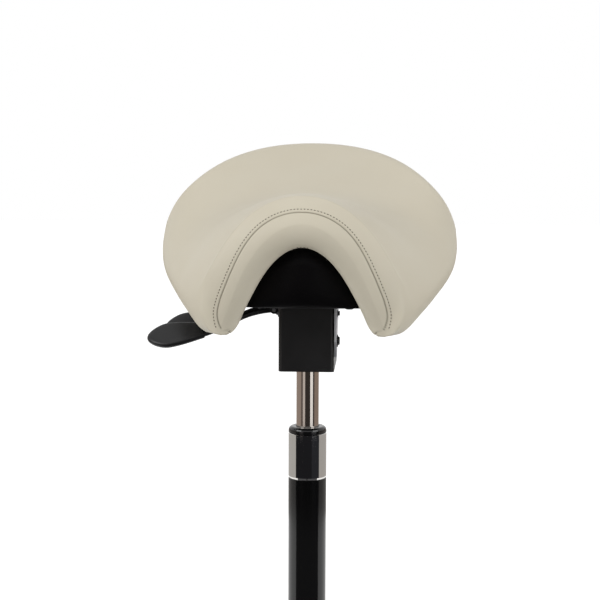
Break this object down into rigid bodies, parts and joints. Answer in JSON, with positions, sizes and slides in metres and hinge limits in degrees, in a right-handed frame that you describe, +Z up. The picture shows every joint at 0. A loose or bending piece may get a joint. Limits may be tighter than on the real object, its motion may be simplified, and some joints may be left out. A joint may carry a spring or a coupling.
{
  "type": "saddle stool",
  "caption": "Height-adjustable saddle stool with a tilting moulded seat, side levers, a gas lift column and a star base on twin-wheel castors.",
  "frame": {"origin": "on the floor, under the middle of the column", "axes": "+Z up along the column; the nose of the saddle faces -Y and the levers stick out to -X"},
  "size_m": [0.6278, 0.5971, 0.7561],
  "materials": {
    "upholstery": "smooth satin",
    "foam": "matte",
    "shell": "matte",
    "pan": "matte",
    "brass_insert": "plain",
    "black_steel": "satin",
    "black_screw": "satin",
    "zinc": "zinc plated",
    "bare_steel": "plain",
    "paddle_plastic": "satin",
    "lift_chrome": "polished",
    "collar_chrome": "polished",
    "rubber_stop": "matte",
    "black_plastic": "satin",
    "column_black": "satin",
    "base_plastic": "fine grain",
    "castor_plastic": "matte",
    "wheel_plastic": "matte"
  },
  "bodies": {
    "base": {"column_tube": "black_steel", "guide_bush": "black_plastic", "chrome_collar": "collar_chrome", "column_cover": "column_black", "lower_race": "bare_steel", "bearing_balls": "bare_steel", "star_base": "base_plastic", "castor_stems": "bare_steel", "stem_rings": "bare_steel"},
    "rod": {"piston_rod": "bare_steel", "piston": "bare_steel", "upper_race": "bare_steel", "bump_stop": "rubber_stop", "rod_clip": "bare_steel"},
    "lift": {"gas_cylinder": "lift_chrome", "mechanism_housing": "black_steel", "taper_socket": "bare_steel", "tilt_axle": "black_screw", "axle_clips": "bare_steel", "lever_pins": "bare_steel"},
    "seat": {"seat_cover": "upholstery", "seat_foam": "foam", "seat_shell": "shell", "under_pan": "pan", "pan_inserts": "brass_insert", "seat_plate": "black_steel", "seat_bolts": "black_screw", "tilt_sector": "zinc", "sector_screws": "zinc"},
    "valve": {"valve_pin": "bare_steel"},
    "height_lever": {"height_lever_rod": "black_steel", "height_paddle": "paddle_plastic"},
    "tilt_lever": {"tilt_lever_rod": "black_steel", "tilt_paddle": "paddle_plastic"},
    "clamp": {"clamp_bolt": "black_screw", "clamp_arm": "bare_steel"},
    "castor_1": {"castor_1_housing": "castor_plastic", "castor_1_axle": "bare_steel"},
    "wheel_1_left": {"castor_1_wheel_left": "wheel_plastic"},
    "wheel_1_right": {"castor_1_wheel_right": "wheel_plastic"},
    "castor_2": {"castor_2_housing": "castor_plastic", "castor_2_axle": "bare_steel"},
    "wheel_2_left": {"castor_2_wheel_left": "wheel_plastic"},
    "wheel_2_right": {"castor_2_wheel_right": "wheel_plastic"},
    "castor_3": {"castor_3_housing": "castor_plastic", "castor_3_axle": "bare_steel"},
    "wheel_3_left": {"castor_3_wheel_left": "wheel_plastic"},
    "wheel_3_right": {"castor_3_wheel_right": "wheel_plastic"},
    "castor_4": {"castor_4_housing": "castor_plastic", "castor_4_axle": "bare_steel"},
    "wheel_4_left": {"castor_4_wheel_left": "wheel_plastic"},
    "wheel_4_right": {"castor_4_wheel_right": "wheel_plastic"},
    "castor_5": {"castor_5_housing": "castor_plastic", "castor_5_axle": "bare_steel"},
    "wheel_5_left": {"castor_5_wheel_left": "wheel_plastic"},
    "wheel_5_right": {"castor_5_wheel_right": "wheel_plastic"}
  },
  "joints": [
    {"name": "seat_swivel", "type": "hinge", "parent": "base", "child": "rod", "pos_m": [0, 0, 0.078], "axis": [0, 0, 1], "continuous": true},
    {"name": "height_slide", "type": "slide", "parent": "rod", "child": "lift", "axis": [0, 0, 1], "range_m": [-0.075, 0.125]},
    {"name": "seat_tilt", "type": "hinge", "parent": "lift", "child": "seat", "pos_m": [0, -0.03, 0.552], "axis": [1, 0, 0], "range_deg": [-6, 10]},
    {"name": "height_lever_turn", "type": "hinge", "parent": "lift", "child": "height_lever", "pos_m": [-0.044, 0, 0.552], "axis": [0, 1, 0], "range_deg": [0, 5], "stiffness_Nm_per_rad": 2, "springref_deg": -8.59},
    {"name": "valve_slide", "type": "slide", "parent": "lift", "child": "valve", "axis": [0, 0, 1], "range_m": [-0.0045, 0]},
    {"name": "tilt_lever_turn", "type": "hinge", "parent": "lift", "child": "tilt_lever", "pos_m": [-0.044, 0.018, 0.552], "axis": [0, 1, 0], "range_deg": [0, 6], "stiffness_Nm_per_rad": 2, "springref_deg": -8.59},
    {"name": "clamp_turn", "type": "hinge", "parent": "lift", "child": "clamp", "pos_m": [0, -0.03, 0.516], "axis": [1, 0, 0], "range_deg": [-4, 0]},
    {"name": "castor_1_swivel", "type": "hinge", "parent": "base", "child": "castor_1", "pos_m": [0, -0.272, 0.06], "axis": [0, 0, 1], "continuous": true},
    {"name": "wheel_1_left_spin", "type": "hinge", "parent": "castor_1", "child": "wheel_1_left", "pos_m": [0, -0.292, 0.025], "axis": [1, 0, 0], "continuous": true},
    {"name": "wheel_1_right_spin", "type": "hinge", "parent": "castor_1", "child": "wheel_1_right", "pos_m": [0, -0.292, 0.025], "axis": [1, 0, 0], "continuous": true},
    {"name": "castor_2_swivel", "type": "hinge", "parent": "base", "child": "castor_2", "pos_m": [0.25869, -0.08405, 0.06], "axis": [0, 0, 1], "continuous": true},
    {"name": "wheel_2_left_spin", "type": "hinge", "parent": "castor_2", "child": "wheel_2_left", "pos_m": [0.27771, -0.09023, 0.025], "axis": [0.309, 0.9511, 0], "continuous": true},
    {"name": "wheel_2_right_spin", "type": "hinge", "parent": "castor_2", "child": "wheel_2_right", "pos_m": [0.27771, -0.09023, 0.025], "axis": [0.309, 0.9511, 0], "continuous": true},
    {"name": "castor_3_swivel", "type": "hinge", "parent": "base", "child": "castor_3", "pos_m": [0.15988, 0.22005, 0.06], "axis": [0, 0, 1], "continuous": true},
    {"name": "wheel_3_left_spin", "type": "hinge", "parent": "castor_3", "child": "wheel_3_left", "pos_m": [0.17163, 0.23623, 0.025], "axis": [-0.809, 0.5878, 0], "continuous": true},
    {"name": "wheel_3_right_spin", "type": "hinge", "parent": "castor_3", "child": "wheel_3_right", "pos_m": [0.17163, 0.23623, 0.025], "axis": [-0.809, 0.5878, 0], "continuous": true},
    {"name": "castor_4_swivel", "type": "hinge", "parent": "base", "child": "castor_4", "pos_m": [-0.15988, 0.22005, 0.06], "axis": [0, 0, 1], "continuous": true},
    {"name": "wheel_4_left_spin", "type": "hinge", "parent": "castor_4", "child": "wheel_4_left", "pos_m": [-0.17163, 0.23623, 0.025], "axis": [-0.809, -0.5878, 0], "continuous": true},
    {"name": "wheel_4_right_spin", "type": "hinge", "parent": "castor_4", "child": "wheel_4_right", "pos_m": [-0.17163, 0.23623, 0.025], "axis": [-0.809, -0.5878, 0], "continuous": true},
    {"name": "castor_5_swivel", "type": "hinge", "parent": "base", "child": "castor_5", "pos_m": [-0.25869, -0.08405, 0.06], "axis": [0, 0, 1], "continuous": true},
    {"name": "wheel_5_left_spin", "type": "hinge", "parent": "castor_5", "child": "wheel_5_left", "pos_m": [-0.27771, -0.09023, 0.025], "axis": [0.309, -0.9511, 0], "continuous": true},
    {"name": "wheel_5_right_spin", "type": "hinge", "parent": "castor_5", "child": "wheel_5_right", "pos_m": [-0.27771, -0.09023, 0.025], "axis": [0.309, -0.9511, 0], "continuous": true}
  ],
  "couplings": [
    {"joint": "valve_slide", "follows": "height_lever_turn", "m_per_rad": -0.044},
    {"joint": "clamp_turn", "follows": "tilt_lever_turn", "ratio": -0.44}
  ]
}
